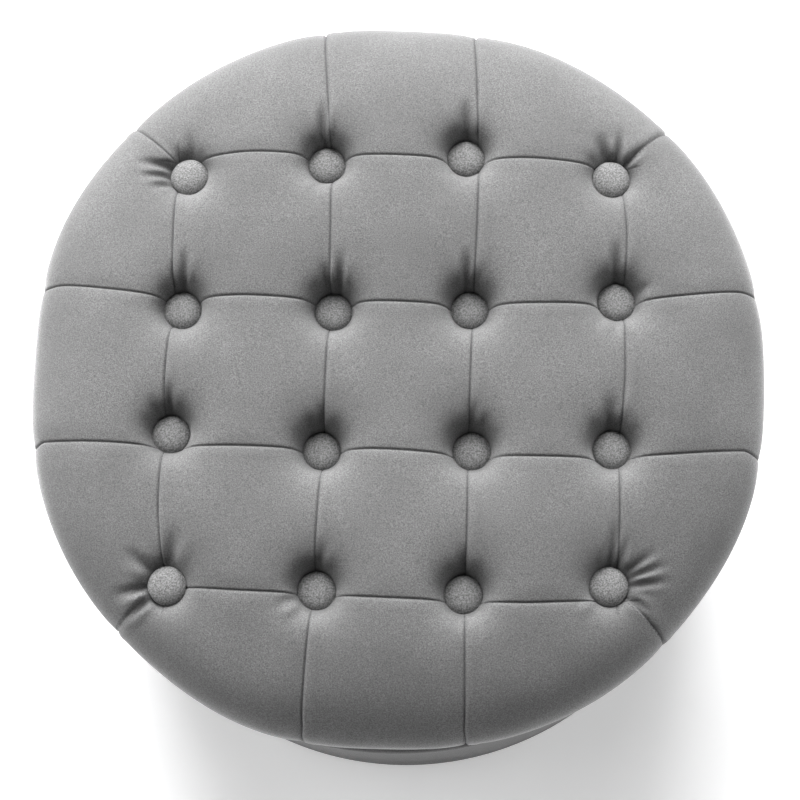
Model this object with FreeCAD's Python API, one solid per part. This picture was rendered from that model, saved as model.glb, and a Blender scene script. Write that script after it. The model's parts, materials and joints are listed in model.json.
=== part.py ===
import FreeCAD, Part
import math
import os

# Round storage ottoman: an upholstered drum with a lift-off, button-tufted lid.
# Millimetres, +Z up, origin on the floor under the middle of the drum.

Vector = FreeCAD.Vector

# ---- driving dimensions ----
height = 400.0           # floor to the crown of the lid
lid_radius = 222.0       # widest circle of the lid's velvet
drum_radius = 221.5      # outside of the drum's velvet
lid_underside = 304.3    # where the lid's hem rests
seat_gap = 0.3           # free height between the lid's hem and the drum's rim

velvet = 1.2             # thickness of the cover cloth
lining = 0.6             # thickness of the nonwoven lining and dust cover
layer_gap = 0.2          # air left between soft layers

glide_height = 12.0
glide_circle = 165.0     # radius on which the feet stand
glide_angles = (45, 135, 225, 315)

base_thickness = 9.0
ring_thickness = 15.0
ring_inner = 186.0
wall_inner = 204.0
wall_thickness = 5.0
post_count = 6
post_width = 25.0
post_depth = 15.0
floor_thickness = 3.0
liner_board_thickness = 1.2
rim_round = 7.0          # rounding of the drum's upper edge
foot_round = 3.0         # rounding of the drum's lower edge
hem_inner = 172.0        # inner edge of the hems under lid and base

board_radius = 207.0
board_thickness = 12.0
plate_radius = 180.4
plate_thickness = 9.0
wadding_thickness = 7.8
lid_top_round = 52.0     # rounding of the lid's upper edge
lid_low_round = 14.0     # rounding of the lid's lower edge

# ---- button grid: even pitch, each button pulled a little off it by hand ----
pitch = 84.5
grid_centre = (0.0, -5.0)
button_pull = (
    ((1, -6), (-1, 2), (-2, 7), (0, -5)),
    ((0, -4), (5, -4), (1, -2), (3, 4)),
    ((-4, 6), (0, -3), (3, -2), (0, 0)),
    ((-3, 2), (-1, 0), (-1, -1), (-2, 5)),
)
button_radius = 11.4
button_height = 7.6
button_shell = 0.9
well_floor = 372.0       # velvet at the bottom of a button's well
well_floor_radius = 13.0
well_mouth_radius = 30.0

# ---- levels worked out from the above ----
dust_z = glide_height
hem_z = dust_z + lining
base_z = hem_z + velvet
base_top = base_z + base_thickness
base_ring_top = base_top + ring_thickness
drum_top = lid_underside - seat_gap
frame_top = drum_top - velvet
ring_bottom = frame_top - ring_thickness
wall_outer = wall_inner + wall_thickness
frame_outer = wall_inner - layer_gap / 2
padding_outer = drum_radius - velvet - layer_gap
liner_top = ring_bottom + 5.0
floor_top = base_top + layer_gap + floor_thickness
board_z = lid_underside + velvet
board_top = board_z + board_thickness
plate_z = lid_underside - plate_thickness
up = Vector(0, 0, 1)


def disc(radius, low, high, x=0.0, y=0.0):
    return Part.makeCylinder(radius, high - low, Vector(x, y, low), up)


def tube(inner, outer, low, high):
    return disc(outer, low, high).cut(disc(inner, low - 1, high + 1))


def cone(low_radius, high_radius, low, high, x=0.0, y=0.0):
    return Part.makeCone(low_radius, high_radius, high - low, Vector(x, y, low), up)


def box(size_x, size_y, size_z, x, y, z):
    # a box centred on x and y, standing on z
    return Part.makeBox(size_x, size_y, size_z, Vector(x - size_x / 2, y - size_y / 2, z))


def turned(shape, angle):
    # the shape swung about the vertical axis
    copy = shape.copy()
    copy.rotate(Vector(0, 0, 0), up, angle)
    return copy


def around(shape, count, first=0.0):
    return [turned(shape, first + 360.0 * i / count) for i in range(count)]


def on_circle(radius, angle):
    a = math.radians(angle)
    return radius * math.cos(a), radius * math.sin(a)


def save(name, *solids):
    shape = solids[0] if len(solids) == 1 else Part.makeCompound(list(solids))
    shape.exportStep("parts/" + name + ".step")


def button_places():
    # (row, column, x, y), row 1 at the back and column 1 on the left
    for row in range(4):
        for column in range(4):
            pull_x, pull_y = button_pull[row][column]
            x = grid_centre[0] + (column - 1.5) * pitch + pull_x
            y = grid_centre[1] + (1.5 - row) * pitch + pull_y
            yield row + 1, column + 1, x, y


# ---- fasteners ----

staple_wire = 0.4        # thickness of a staple's crown
staple_width = 1.0
staple_leg = 0.6
screw_head_radius = 3.8
screw_head_height = 2.2
screw_radius = 1.8
screw_tip_radius = 0.3
screw_tip_length = 3.0
sink_radius = 4.1        # countersink and clearance hole
sink_depth = 2.3
hole_radius = 2.0


def wood_screw(head_z, length, x=0.0, y=0.0, head_up=True):
    # countersunk head flush with head_z, pointing away from it
    way = -1 if head_up else 1
    along = Vector(0, 0, way)
    face = Vector(x, y, head_z)
    head = Part.makeCone(screw_head_radius, screw_radius, screw_head_height, face, along)
    shank_length = length - screw_tip_length
    shank = Part.makeCylinder(screw_radius, shank_length, face, along)
    tip_z = head_z + way * shank_length
    tip = Part.makeCone(screw_radius, screw_tip_radius, screw_tip_length, Vector(x, y, tip_z), along)
    return head.fuse([shank, tip])


def screw_hole(head_z, depth, x=0.0, y=0.0, head_up=True):
    way = -1 if head_up else 1
    sink = Part.makeCone(sink_radius, hole_radius, sink_depth, Vector(x, y, head_z), Vector(0, 0, way))
    shaft = Part.makeCylinder(hole_radius, depth + 1, Vector(x, y, head_z), Vector(0, 0, way))
    return sink.fuse(shaft)


def flat_staple(radius, crown_z, width=10.0, leg=5.0):
    # crown lying along the circle under a cloth, legs going up
    crown = box(staple_width, width, staple_wire, radius, 0, crown_z)
    legs = [box(staple_width, staple_leg, leg, radius, side * (width - staple_leg) / 2, crown_z)
            for side in (-1, 1)]
    return crown.fuse(legs)


def wall_staple(radius, z, width=10.0, leg=6.0):
    # crown lying on the inside of a wall, legs going outwards
    crown = box(staple_wire, width, staple_width, radius + staple_wire / 2, 0, z)
    legs = [box(leg, staple_leg, staple_width, radius + leg / 2, side * (width - staple_leg) / 2, z)
            for side in (-1, 1)]
    return crown.fuse(legs)


# ---- drum ----

post_angles = [30 + 360.0 * i / post_count for i in range(post_count)]
post_middle = ring_inner + post_depth / 2
base_screw_angles = [45 * i + 7.5 for i in range(8)]


def make_base_panel():
    panel = disc(frame_outer, base_z, base_top)
    holes = [screw_hole(base_z, base_thickness, *on_circle(post_middle, a), head_up=False)
             for a in post_angles + base_screw_angles]
    panel = panel.cut(holes)
    save("base_panel", panel)


def make_rings():
    save("base_ring", tube(ring_inner, frame_outer, base_top, base_ring_top))
    ring = tube(ring_inner, frame_outer, ring_bottom, frame_top)
    holes = [screw_hole(frame_top, ring_thickness, *on_circle(post_middle, a)) for a in post_angles]
    save("top_ring", ring.cut(holes))


def make_posts():
    for number, angle in enumerate(post_angles, 1):
        batten = box(post_depth, post_width, ring_bottom - base_ring_top, post_middle, 0, base_ring_top)
        save("post_%d" % number, turned(batten, angle))


def make_wall_panel():
    save("wall_panel", tube(wall_inner, wall_outer, base_z, frame_top))


def rounded_drum(radius, low, high, top_round, low_round):
    body = disc(radius, low, high)
    for round_radius, level in ((top_round, high), (low_round, low)):
        rim = [e for e in body.Edges if len(e.Vertexes) == 1 and abs(e.CenterOfMass.z - level) < 0.01]
        body = body.makeFillet(round_radius, rim)
    return body


def make_drum_padding():
    body = rounded_drum(padding_outer, base_z, frame_top, rim_round - velvet, foot_round - velvet)
    save("drum_padding", body.cut(disc(wall_outer + layer_gap, base_z - 1, frame_top + 1)))


def make_drum_cover():
    mouth = ring_inner - velvet
    outer = rounded_drum(drum_radius, hem_z, drum_top, rim_round, foot_round)
    inner = rounded_drum(drum_radius - velvet, base_z, frame_top, rim_round - velvet, foot_round - velvet)
    shell = outer.cut(inner)
    shell = shell.cut(disc(mouth, frame_top - 1, drum_top + 1))
    shell = shell.cut(disc(hem_inner, hem_z - 1, base_z + 1))
    turn_in = tube(mouth, ring_inner, ring_bottom, drum_top - velvet / 2)
    save("drum_cover", shell.fuse(turn_in).removeSplitter())


def make_liner():
    board_outer = ring_inner - layer_gap / 2
    board_inner = board_outer - liner_board_thickness
    save("liner_board", tube(board_inner, board_outer, floor_top + layer_gap, ring_bottom - layer_gap))
    cloth_outer = board_inner - layer_gap
    save("liner_wall", tube(cloth_outer - lining, cloth_outer, floor_top + layer_gap, liner_top))
    save("floor_insert", disc(board_outer - 0.7, base_top + layer_gap, floor_top))
    staple = wall_staple(cloth_outer - lining - staple_wire, liner_top - 3.0)
    save("liner_staples", *around(staple, 24))


def make_underside():
    sheet = disc(203.0, dust_z, dust_z + lining)
    holes = [disc(2.3, dust_z - 1, hem_z + 1, *on_circle(glide_circle, a)) for a in glide_angles]
    save("dust_cover", sheet.cut(holes))
    staple = flat_staple(196.0, dust_z - staple_wire)
    save("dust_cover_staples", *around(staple, 32))


def make_glides():
    for number, angle in enumerate(glide_angles, 1):
        x, y = on_circle(glide_circle, angle)
        foot = cone(13.0, 15.0, 0, glide_height, x, y)
        foot = foot.cut([disc(5.0, -1, 6.0, x, y), disc(2.2, 5, glide_height + 1, x, y)])
        save("glide_%d" % number, foot)
    places = [on_circle(glide_circle, a) for a in glide_angles]
    screws = [disc(4.0, 4.0, 6.0, x, y).fuse(disc(1.8, 6.0, base_top - 1.5, x, y)) for x, y in places]
    save("glide_screws", *screws)


def make_frame_screws():
    save("base_screws", *[wood_screw(base_z, 22.0, *on_circle(post_middle, a), head_up=False)
                          for a in base_screw_angles])
    low = [wood_screw(base_z, 50.0, *on_circle(post_middle, a), head_up=False) for a in post_angles]
    high = [wood_screw(frame_top, 40.0, *on_circle(post_middle, a)) for a in post_angles]
    save("post_screws", *(low + high))


# ---- lid ----

def lid_form(inset):
    # the lid's rounded outline, shrunk by inset on every side, with its button wells
    low = lid_underside + inset
    high = height - inset
    radius = lid_radius - inset
    top_round = lid_top_round - inset
    low_round = lid_low_round - inset
    slope = math.sqrt(0.5)
    low_mid = Vector(radius - low_round + low_round * slope, 0, low + low_round - low_round * slope)
    top_mid = Vector(radius - top_round + top_round * slope, 0, high - top_round + top_round * slope)
    axis_low = Vector(0, 0, low)
    axis_high = Vector(0, 0, high)
    corner_a = Vector(radius - low_round, 0, low)
    corner_b = Vector(radius, 0, low + low_round)
    corner_c = Vector(radius, 0, high - top_round)
    corner_d = Vector(radius - top_round, 0, high)
    edges = [
        Part.LineSegment(axis_low, corner_a).toShape(),
        Part.Arc(corner_a, low_mid, corner_b).toShape(),
        Part.LineSegment(corner_b, corner_c).toShape(),
        Part.Arc(corner_c, top_mid, corner_d).toShape(),
        Part.LineSegment(corner_d, axis_high).toShape(),
        Part.LineSegment(axis_high, axis_low).toShape(),
    ]
    body = Part.Face(Part.Wire(edges)).revolve(Vector(0, 0, 0), up, 360)
    body = Part.Solid(body.Shells[0])
    return body.cut([well(x, y, inset) for row, column, x, y in button_places()])


def well(x, y, inset):
    rise = height + 1.0 - well_floor
    spread = (well_mouth_radius - well_floor_radius) / (height - well_floor)
    side = inset * math.sqrt(1 + spread * spread)
    low_radius = well_floor_radius - spread * inset + side
    high_radius = well_floor_radius + spread * rise + side
    return cone(low_radius, high_radius, well_floor - inset, well_floor + rise, x, y)


def twine_holes(radius, low, high):
    return [disc(radius, low, high, x, y) for row, column, x, y in button_places()]


def make_lid_cover():
    shell = lid_form(0).cut(lid_form(velvet))
    shell = shell.cut(disc(hem_inner, lid_underside - 1, board_z + 0.1))
    save("lid_cover", shell.cut(twine_holes(2.6, well_floor - 3, well_floor + 1)))
    # staples in the narrow ring between the locating plate and the mouth
    staple = flat_staple(182.9, lid_underside - staple_wire)
    save("lid_cover_staples", *around(staple, 32, first=5.4))


def make_lid_filling():
    skin = velvet + layer_gap
    wadding = lid_form(skin).cut(lid_form(skin + wadding_thickness))
    wadding = wadding.cut(disc(board_radius + layer_gap, lid_underside, board_top + layer_gap))
    save("lid_wadding", wadding.cut(twine_holes(2.6, board_top, well_floor)))
    foam = lid_form(skin + wadding_thickness + layer_gap)
    foam = foam.cut(disc(lid_radius, lid_underside, board_top))
    save("lid_foam", foam.cut(twine_holes(2.0, board_top - 1, well_floor)))


def make_lid_board():
    board = disc(board_radius, board_z, board_top)
    board = board.cut(twine_holes(2.0, board_z - 1, board_top + 1))
    save("lid_board", board.cut(twine_holes(6.0, board_z - 1, board_z + 2.5)))


def make_tufting():
    washers = []
    twines = []
    backs = []
    loop_z = well_floor - 1.6
    for row, column, x, y in button_places():
        washers.append(disc(5.5, board_z + 1.6, board_z + 2.5, x, y).cut(disc(1.2, board_z, board_top, x, y)))
        knot = disc(2.2, board_z + 0.4, board_z + 1.6, x, y)
        twines.append(knot.fuse(disc(0.9, board_z + 1, loop_z, x, y)))
        plate = disc(9.6, well_floor + 0.4, well_floor + 1.4, x, y)
        loop = Part.makeTorus(1.9, 0.5, Vector(x, y, loop_z + 0.2), Vector(0, 1, 0))
        backs.append(plate.fuse(loop))
        save("button_%d_%d" % (row, column), button_cap(x, y))
    save("twine_washers", *washers)
    save("tuft_twines", *twines)
    save("button_backs", *backs)


def button_cap(x, y):
    # shallow dome over a short skirt, hollow underneath
    low = well_floor + 0.4
    return domed(x, y, button_radius, low, button_height).cut(
        domed(x, y, button_radius - button_shell, low - 0.1, button_height - button_shell))


def domed(x, y, radius, low, rise):
    skirt = 0.3 * rise
    dome = rise - skirt
    sphere_radius = (radius * radius + dome * dome) / (2 * dome)
    skirt_body = disc(radius, low, low + skirt, x, y)
    ball = Part.makeSphere(sphere_radius, Vector(x, y, low + rise - sphere_radius))
    cap = ball.common(disc(radius, low + skirt, low + rise + 1, x, y))
    return skirt_body.fuse(cap).removeSplitter()


def make_locating_plate():
    angles = [60.0 * i for i in range(6)]
    places = [on_circle(150.0, a) for a in angles]
    plate = disc(plate_radius, plate_z, lid_underside)
    save("locating_plate", plate.cut([screw_hole(plate_z, plate_thickness, x, y, head_up=False)
                                      for x, y in places]))
    cloth = disc(plate_radius + lining, plate_z - lining, lid_underside)
    save("plate_lining", cloth.cut(disc(plate_radius, plate_z, lid_underside + 1)))
    save("plate_screws", *[wood_screw(plate_z, 18.0, x, y, head_up=False) for x, y in places])


os.makedirs("parts", exist_ok=True)
make_base_panel()
make_rings()
make_posts()
make_wall_panel()
make_drum_padding()
make_drum_cover()
make_liner()
make_underside()
make_glides()
make_frame_screws()
make_lid_cover()
make_lid_filling()
make_lid_board()
make_tufting()
make_locating_plate()
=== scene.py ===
import json
import math
import bpy
import bmesh
import numpy as np
from mathutils import Matrix, Vector, kdtree


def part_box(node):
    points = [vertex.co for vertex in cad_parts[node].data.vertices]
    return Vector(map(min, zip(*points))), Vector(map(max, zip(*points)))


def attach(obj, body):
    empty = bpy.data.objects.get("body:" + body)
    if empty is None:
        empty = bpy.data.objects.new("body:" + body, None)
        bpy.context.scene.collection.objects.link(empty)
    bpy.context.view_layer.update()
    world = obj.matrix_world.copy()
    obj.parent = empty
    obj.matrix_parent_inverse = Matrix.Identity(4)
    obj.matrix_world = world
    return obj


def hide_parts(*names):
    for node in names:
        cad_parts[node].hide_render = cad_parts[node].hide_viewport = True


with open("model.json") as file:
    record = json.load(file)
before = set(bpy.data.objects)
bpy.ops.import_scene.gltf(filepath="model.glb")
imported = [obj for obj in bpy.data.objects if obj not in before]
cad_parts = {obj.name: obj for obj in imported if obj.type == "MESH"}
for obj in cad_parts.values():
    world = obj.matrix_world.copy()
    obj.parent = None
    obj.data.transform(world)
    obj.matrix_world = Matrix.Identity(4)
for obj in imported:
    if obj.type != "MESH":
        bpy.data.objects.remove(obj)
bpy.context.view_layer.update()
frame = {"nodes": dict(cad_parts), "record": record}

# Round velvet storage ottoman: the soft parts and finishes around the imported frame.
# Lengths in the dictionaries are millimetres; meshes are metres.

mm = 0.001


def toLinear(hexColour):
    parts = [int(hexColour[i:i + 2], 16) / 255 for i in (1, 3, 5)]
    return tuple(p / 12.92 if p <= 0.04045 else ((p + 0.055) / 1.055) ** 2.4 for p in parts) + (1.0,)


def addNode(tree, kind, values=None, links=None):
    # values go to inputs of that name or number, or else to the node's own settings
    node = tree.nodes.new(kind)
    for key, value in (values or {}).items():
        if isinstance(key, str) and key not in node.inputs:
            setattr(node, key, value)
    for key, value in (values or {}).items():
        if not isinstance(key, str) or key in node.inputs:
            node.inputs[key].default_value = value
    for key, source in (links or {}).items():
        tree.links.new(source, node.inputs[key])
    return node


def steps(value, low, high):
    # smooth rise from 0 at low to 1 at high
    t = np.clip((value - low) / (high - low), 0, 1)
    return t * t * (3 - 2 * t)


def addObject(name, data):
    thing = bpy.data.objects.new(name, data)
    bpy.context.scene.collection.objects.link(thing)
    return thing


def newPiece(name, bm, materials, smooth=True):
    mesh = bpy.data.meshes.new(name)
    bm.to_mesh(mesh)
    bm.free()
    piece = addObject(name, mesh)
    for material in materials:
        mesh.materials.append(material)
    if smooth:
        mesh.polygons.foreach_set("use_smooth", [True] * len(mesh.polygons))
    return piece


def readPoints(mesh):
    flat = np.empty(len(mesh.vertices) * 3)
    mesh.vertices.foreach_get("co", flat)
    return flat.reshape(-1, 3)


def thicken(piece, thickness, offset=-1):
    solidify = piece.modifiers.new("thickness", "SOLIDIFY")
    solidify.thickness = thickness * mm
    solidify.offset = offset
    solidify.use_even_offset = False
    return solidify


def spunSkin(outline, turns, unit=mm):
    # an outline of radius and height, turned about the Z axis
    bm = bmesh.new()
    verts = [bm.verts.new((x * unit, 0, z * unit)) for x, z in outline]
    edges = [bm.edges.new(pair) for pair in zip(verts, verts[1:])]
    bmesh.ops.spin(bm, geom=verts + edges, cent=(0, 0, 0), axis=(0, 0, 1), angle=math.tau,
                   steps=turns, use_merge=True)
    bmesh.ops.remove_doubles(bm, verts=bm.verts, dist=1e-4 * unit)
    bmesh.ops.recalc_face_normals(bm, faces=bm.faces)
    return bm


def startMaterial(name):
    material = bpy.data.materials.new(name)
    material.use_nodes = True
    tree = material.node_tree
    tree.nodes.clear()
    output = addNode(tree, "ShaderNodeOutputMaterial")
    where = addNode(tree, "ShaderNodeTexCoord").outputs["Object"]
    return material, tree, output, where


def dressSurface(tree, output, settings, colour, height, bump, relief=0.0004):
    # relief is the bump's full height in metres
    raised = addNode(tree, "ShaderNodeBump", {"Strength": bump, "Distance": relief}, {"Height": height})
    shader = addNode(tree, "ShaderNodeBsdfPrincipled", settings,
                     {"Base Color": colour, "Normal": raised.outputs["Normal"]})
    tree.links.new(shader.outputs["BSDF"], output.inputs["Surface"])


# Polyester velvet: short upright pile, woven and cut even. It takes light at a grazing angle,
# so rounded edges go pale, and it lies a little unevenly, which leaves soft clouds.
# On a Mix node sockets 6 and 7 are its two colours, 0 its factor, and output 2 the result.
velvetLook = {
    "pile": "#878787", "pileDeep": "#676767", "pileTip": "#9f9f9f",
    "sheen": 0.75, "sheenRoughness": 0.3,
    "flattened": "#2e2e2f",
    "pileSize": 0.75,     # tufts of fibre that catch light together; real ones are 0.2, too fine to show
    "cloudSize": 38.0,    # patches brushed one way
    "bump": 0.45,
    "crushed": 0.36,      # how far stitches take the pile to its flattened colour
}


def velvetMaterial(name, look):
    material, tree, output, where = startMaterial(name)
    fine = addNode(tree, "ShaderNodeTexNoise",
                   {"Scale": 1000 / look["pileSize"], "Detail": 3.0, "Roughness": 0.62}, {"Vector": where})
    cloud = addNode(tree, "ShaderNodeTexNoise",
                    {"Scale": 1000 / look["cloudSize"], "Detail": 2.0, "Roughness": 0.5}, {"Vector": where})
    fineBand = addNode(tree, "ShaderNodeMapRange",
                       {"From Min": 0.34, "From Max": 0.66}, {"Value": fine.outputs["Fac"]})
    cloudBand = addNode(tree, "ShaderNodeMapRange",
                        {"From Min": 0.3, "From Max": 0.7, "To Max": 0.5}, {"Value": cloud.outputs["Fac"]})
    brushed = addNode(tree, "ShaderNodeMix",
                      {"data_type": "RGBA", 6: toLinear(look["pile"]), 7: toLinear(look["pileTip"])},
                      {0: cloudBand.outputs[0]})
    upright = addNode(tree, "ShaderNodeMix", {"data_type": "RGBA", 6: toLinear(look["pileDeep"])},
                      {0: fineBand.outputs[0], 7: brushed.outputs[2]})
    stitched = addNode(tree, "ShaderNodeAttribute", {"attribute_name": "stitched"})
    crushed = addNode(tree, "ShaderNodeMapRange", {"To Max": look["crushed"]},
                      {"Value": stitched.outputs["Fac"]})
    pile = addNode(tree, "ShaderNodeMix", {"data_type": "RGBA", 7: toLinear(look["flattened"])},
                   {0: crushed.outputs[0], 6: upright.outputs[2]})
    cloth = {"Roughness": 0.95, "IOR": 1.45, "Specular IOR Level": 0.1, "Sheen Weight": look["sheen"],
             "Sheen Roughness": look["sheenRoughness"], "Sheen Tint": (1.0, 1.0, 1.0, 1.0)}
    dressSurface(tree, output, cloth, pile.outputs[2], fine.outputs["Fac"], look["bump"])
    return material


velvet = velvetMaterial("velvet_polyester_short_pile", velvetLook)
# The same cloth over a button, with coarser grain, made paler: painted light that keeps buttons sunk in
# shaded wells as bright as the panels.
buttonVelvetPaintedLight = velvetMaterial("velvet_button_painted_light", dict(
    velvetLook, pile="#acacac", pileDeep="#6b6b6b", pileTip="#b4b4b4", sheen=0.4, pileSize=0.95, bump=0.7))
# A darker copy of the velvet for the drum, with less sheen: painted shade for the drum's side, which lies in
# shadow under the lid.
drumVelvetPaintedShade = velvetMaterial("velvet_drum_painted_shade", dict(
    velvetLook, pile="#787878", pileDeep="#5a5a5a", pileTip="#7f7f7f", sheen=0.2, sheenRoughness=0.45))


def plainMaterial(name, light, dark, grain, roughness, bump=0.1, stretch=(1, 1, 1), metal=0.0, detail=4.0):
    # one noise drives colour and bump; grain is its size in mm, stretch its length along each axis
    material, tree, output, where = startMaterial(name)
    mapping = addNode(tree, "ShaderNodeMapping", {"Scale": tuple(1 / s for s in stretch)}, {"Vector": where})
    noise = addNode(tree, "ShaderNodeTexNoise", {"Scale": 1000 / grain, "Detail": detail, "Roughness": 0.6},
                    {"Vector": mapping.outputs[0]})
    band = addNode(tree, "ShaderNodeMapRange", {"From Min": 0.32, "From Max": 0.68},
                   {"Value": noise.outputs["Fac"]})
    colour = addNode(tree, "ShaderNodeMix", {"data_type": "RGBA", 6: toLinear(dark), 7: toLinear(light)},
                     {0: band.outputs[0]})
    dressSurface(tree, output, {"Roughness": roughness, "Metallic": metal}, colour.outputs[2],
                 noise.outputs["Fac"], bump)
    return material


def ringedWood(name, light, dark, ringWidth, roughness, across=(1, 1, 1)):
    # sawn or peeled wood: wavy bands with fine fibres along them
    material, tree, output, where = startMaterial(name)
    mapping = addNode(tree, "ShaderNodeMapping", {"Scale": across}, {"Vector": where})
    wave = addNode(tree, "ShaderNodeTexWave",
                   {"Scale": 1000 / ringWidth / math.tau, "Distortion": 7.0,
                    "Detail": 3.0, "Detail Scale": 1.4},
                   {"Vector": mapping.outputs[0]})
    fibre = addNode(tree, "ShaderNodeTexNoise", {"Scale": 420.0, "Detail": 4.0, "Roughness": 0.7},
                    {"Vector": mapping.outputs[0]})
    bands = addNode(tree, "ShaderNodeMix", {"data_type": "RGBA", 6: toLinear(light), 7: toLinear(dark)},
                    {0: wave.outputs["Fac"]})
    half = addNode(tree, "ShaderNodeMapRange", {"From Min": 0.35, "From Max": 0.7, "To Max": 0.4},
                   {"Value": fibre.outputs["Fac"]})
    colour = addNode(tree, "ShaderNodeMix", {"data_type": "RGBA", 7: toLinear(dark)},
                     {0: half.outputs[0], 6: bands.outputs[2]})
    dressSurface(tree, output, {"Roughness": roughness}, colour.outputs[2], fibre.outputs["Fac"], 0.2,
                 relief=0.0003)
    return material


# Each finish is named for what it is, and its note says what that gives the eye.
# The numbers are grain size in mm, roughness and bump.
finishes = {
    # rotary-peeled poplar plywood, sanded once: pale, with broad wavy bands and a dull face
    "plywood": ringedWood("plywood_poplar_raw", "#d9bd8e", "#b98f5c", 9.0, 0.75, (0.35, 1.0, 1.0)),
    # sawn pine: yellower, with narrow bands running up the batten and fuzzy fibres
    "batten_wood": ringedWood("pine_batten_sawn", "#e0c391", "#c39a63", 6.0, 0.8, (1.0, 1.0, 0.2)),
    # pressed wood fibre: even dark brown, faintly mottled, with a slight shine from the press
    "hardboard": plainMaterial("hardboard_smooth_face", "#7a5636", "#5d3f26", 2.4, 0.55, 0.15),
    # recycled board: brown-grey and matt, flecked with longer fibres
    "cardboard": plainMaterial("cardboard_recycled", "#a08a6a", "#86714f", 1.8, 0.9, 0.2, (1, 1, 6)),
    # spun-bonded polypropylene: near black and matt, pebbled all over by its bond points
    "lining": plainMaterial("lining_nonwoven_charcoal", "#2c2d2f", "#202123", 1.4, 0.85, 0.45, detail=2.0),
    "dust_cloth": plainMaterial("dust_cloth_nonwoven_black", "#1a1a1b", "#101011", 1.4, 0.9, 0.45,
                                detail=2.0),
    # polyurethane foam: cream, matt, and pitted by cells; drawn at 1.2 because 0.4 would not show
    "padding_foam": plainMaterial("foam_sheet_open_cell", "#e5dcb8", "#cfc49c", 1.2, 0.95, 0.5),
    "cushion_foam": plainMaterial("foam_block_open_cell", "#e8dfbc", "#d2c7a0", 1.4, 0.95, 0.5),
    # carded polyester: off-white and fluffy, in soft streaks
    "wadding": plainMaterial("wadding_polyester", "#f2f1ec", "#dcdad2", 3.0, 0.95, 0.5, (1, 1, 0.4)),
    # waxed thread: straw-coloured, a little glossy, ridged by its twist
    "twine": plainMaterial("twine_waxed_polyester", "#d6cbaf", "#b5a886", 0.8, 0.6, 0.5, (1, 1, 0.3)),
    # bright steels: grey or yellow plating, cloudy where it has dulled in handling
    "staple_steel": plainMaterial("steel_wire_galvanised", "#a9aaac", "#8e8f92", 1.2, 0.35, 0.1, metal=1.0),
    "screw_steel": plainMaterial("steel_screw_yellow_zinc", "#c6ad66", "#a88f4c", 1.5, 0.32, 0.1, metal=1.0),
    "washer_steel": plainMaterial("steel_washer_zinc", "#a5a6a8", "#8a8b8e", 1.6, 0.38, 0.1, metal=1.0),
    "button_steel": plainMaterial("steel_button_back_zinc", "#a5a6a8", "#8a8b8e", 1.4, 0.36, 0.1, metal=1.0),
    # moulded polypropylene: black, half matt, with a fine sparked grain
    "glide_plastic": plainMaterial("polypropylene_moulded_black", "#1c1c1d", "#131314", 0.7, 0.5, 0.3),
    "velvet": velvet,
    "button_velvet": buttonVelvetPaintedLight,
}
slotOf = {entry["node"]: entry["material_slot"] for entry in frame["record"]["subparts"]}
print("materials ready:", len(finishes))


cameraView = {
    "aim": (2.2, -12.8, 345.0), "distance": 1264.0, "elevation": 78.69, "swing": -6.8, "roll": -5.97,
    "lens": 94.5,
}


def placeCamera(view):
    elevation = math.radians(view["elevation"])
    swing = math.radians(view["swing"])
    back = Vector((-math.sin(swing) * math.cos(elevation), -math.cos(swing) * math.cos(elevation),
                   math.sin(elevation)))
    right = Vector((math.cos(swing), -math.sin(swing), 0))
    above = back.cross(right)
    turn = Matrix((right, above, back)).transposed() @ Matrix.Rotation(math.radians(view["roll"]), 3, "Z")
    data = bpy.data.cameras.new("camera")
    data.lens = view["lens"]
    data.sensor_width = 36
    data.clip_end = 100
    camera = addObject("camera", data)
    place = (Vector(view["aim"]) + back * view["distance"]) * mm
    camera.matrix_world = Matrix.Translation(place) @ turn.to_4x4()
    bpy.context.scene.camera = camera


placeCamera(cameraView)

studio = {
    "floor": "#f4f4f5", "floorSpeck": "#efeff0", "floorSize": 60000.0, "floorGlow": 0.38, "floorDrop": 0.3,
    "zenith": 0.04, "horizonBack": 0.85, "horizonFront": 0.03, "cyclorama": 1.1,
    # name: where the light comes from, its strength, and how wide it looks in degrees
    "lamps": {
        "back_key": ((-0.13, 1.0, 0.58), 3.7, 34),
        "back_rim": ((-0.25, 1.0, 0.12), 1.5, 24),
        "back_high": ((-0.1, 1.0, 1.1), 1.9, 40),
        "left_fill": ((-1.0, 0.25, 0.34), 1.7, 50),
        "right_fill": ((1.0, 0.3, 0.34), 1.0, 50),
    },
}


def studioWorld(look):
    world = bpy.data.worlds.new("studio")
    world.use_nodes = True
    tree = world.node_tree
    background = tree.nodes["Background"]
    where = addNode(tree, "ShaderNodeTexCoord").outputs["Generated"]
    split = addNode(tree, "ShaderNodeSeparateXYZ", links={"Vector": where})
    behind = addNode(tree, "ShaderNodeMapRange",
                     {"From Min": -0.6, "From Max": 0.9,
                      "To Min": look["horizonFront"], "To Max": look["horizonBack"]},
                     {"Value": split.outputs["Y"]})
    level = addNode(tree, "ShaderNodeMapRange",
                    {"From Min": 0.1, "From Max": 0.55, "interpolation_type": "SMOOTHSTEP"},
                    {"Value": split.outputs["Z"]})
    strength = addNode(tree, "ShaderNodeMix", {"data_type": "FLOAT", 3: look["zenith"]},
                       {0: level.outputs[0], 2: behind.outputs[0]})
    tree.links.new(strength.outputs[0], background.inputs["Strength"])
    background.inputs["Color"].default_value = (1, 1, 1, 1)
    bpy.context.scene.world = world


def glowMaterial(name, strength):
    material, tree, output, where = startMaterial(name)
    glow = addNode(tree, "ShaderNodeEmission", {"Strength": strength})
    tree.links.new(glow.outputs[0], output.inputs["Surface"])
    return material


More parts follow.
